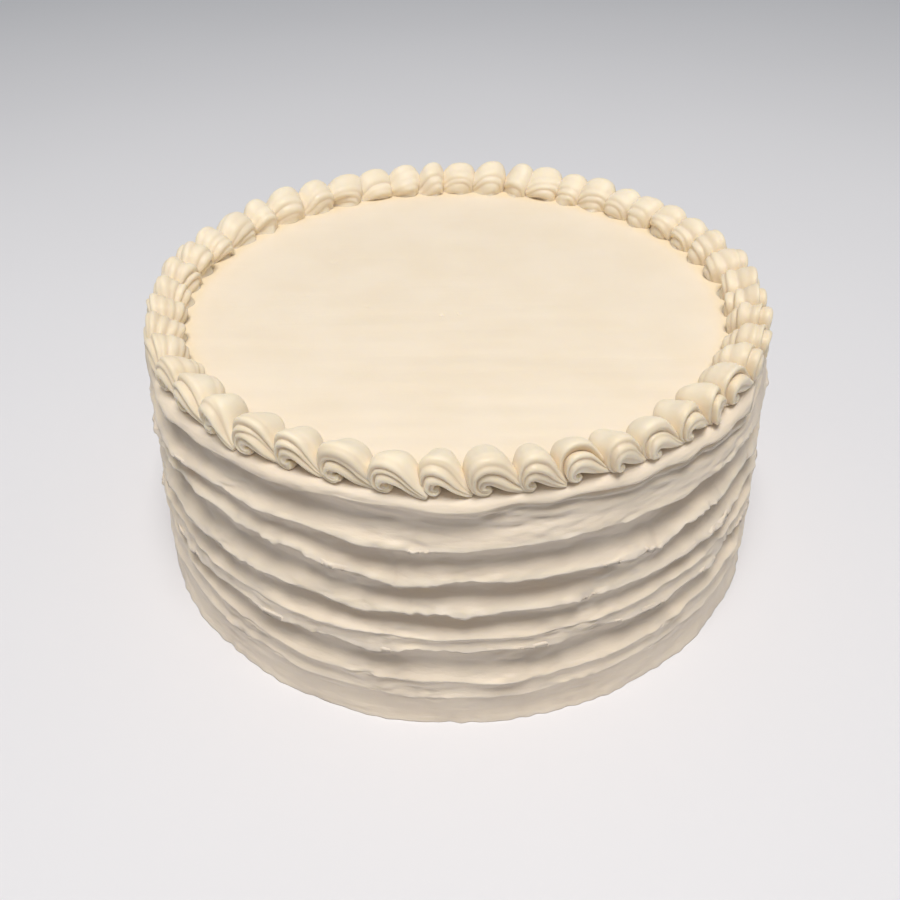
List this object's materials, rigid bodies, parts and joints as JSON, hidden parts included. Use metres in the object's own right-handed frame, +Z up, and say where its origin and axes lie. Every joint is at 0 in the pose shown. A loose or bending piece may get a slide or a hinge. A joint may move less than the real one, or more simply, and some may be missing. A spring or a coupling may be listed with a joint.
{
  "type": "vanilla cake",
  "caption": "Round iced vanilla cake with torn horizontal ridges round its tapered side, a smooth flat top and a piped shell border round the rim.",
  "frame": {"origin": "centre of the flat base, on the plane that the cake rests on", "axes": "+Z up through the middle of the cake; -Y towards the side that the picture shows; +X to its right"},
  "size_m": [0.204, 0.204, 0.087],
  "materials": {
    "frosting": "satin cream buttercream, spread with a knife",
    "piped_frosting": "satin cream buttercream, piped"
  },
  "bodies": {
    "root": {"frosted_cake": "frosting", "piped_shell_01": "piped_frosting", "piped_shell_02": "piped_frosting", "piped_shell_03": "piped_frosting", "piped_shell_04": "piped_frosting", "piped_shell_05": "piped_frosting", "piped_shell_06": "piped_frosting", "piped_shell_07": "piped_frosting", "piped_shell_08": "piped_frosting", "piped_shell_09": "piped_frosting", "piped_shell_10": "piped_frosting", "piped_shell_11": "piped_frosting", "piped_shell_12": "piped_frosting", "piped_shell_13": "piped_frosting", "piped_shell_14": "piped_frosting", "piped_shell_15": "piped_frosting", "piped_shell_16": "piped_frosting", "piped_shell_17": "piped_frosting", "piped_shell_18": "piped_frosting", "piped_shell_19": "piped_frosting", "piped_shell_20": "piped_frosting", "piped_shell_21": "piped_frosting", "piped_shell_22": "piped_frosting", "piped_shell_23": "piped_frosting", "piped_shell_24": "piped_frosting", "piped_shell_25": "piped_frosting", "piped_shell_26": "piped_frosting", "piped_shell_27": "piped_frosting", "piped_shell_28": "piped_frosting", "piped_shell_29": "piped_frosting", "piped_shell_30": "piped_frosting", "piped_shell_31": "piped_frosting", "piped_shell_32": "piped_frosting", "piped_shell_33": "piped_frosting", "piped_shell_34": "piped_frosting", "piped_shell_35": "piped_frosting", "piped_shell_36": "piped_frosting", "piped_shell_37": "piped_frosting", "piped_shell_38": "piped_frosting", "piped_shell_39": "piped_frosting", "piped_shell_40": "piped_frosting", "piped_shell_41": "piped_frosting", "piped_shell_42": "piped_frosting", "piped_shell_43": "piped_frosting", "piped_shell_44": "piped_frosting", "piped_shell_45": "piped_frosting", "piped_shell_46": "piped_frosting", "piped_shell_47": "piped_frosting", "piped_shell_48": "piped_frosting"}
  },
  "joints": []
}
